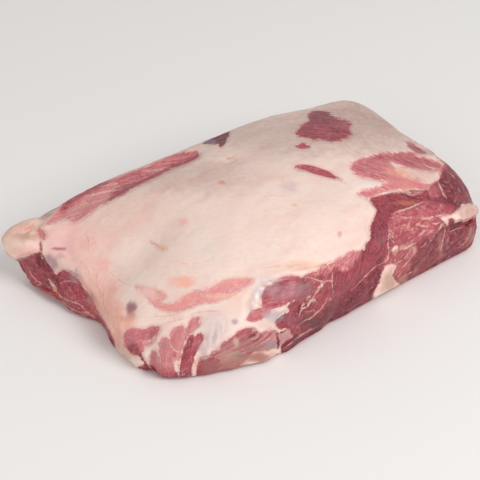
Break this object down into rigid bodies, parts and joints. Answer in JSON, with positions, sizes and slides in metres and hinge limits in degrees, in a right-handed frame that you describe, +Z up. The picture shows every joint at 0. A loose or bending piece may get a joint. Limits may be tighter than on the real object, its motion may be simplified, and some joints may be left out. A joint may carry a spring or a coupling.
{
  "type": "boston butt",
  "caption": "Raw pork shoulder cut as a low rounded block, with a smooth fat cap over lean muscles and a lump of fat at one corner.",
  "frame": {"origin": "on the table under the middle of the block", "axes": "+X along the block towards its lean end, +Y to its far long side, +Z up through the fat cap"},
  "size_m": [0.326, 0.193, 0.0835],
  "materials": {
    "meat": "moist raw meat: pale pink fat over red lean, with a soft wet gloss"
  },
  "bodies": {
    "root": {"boston_butt": "meat"}
  },
  "joints": []
}
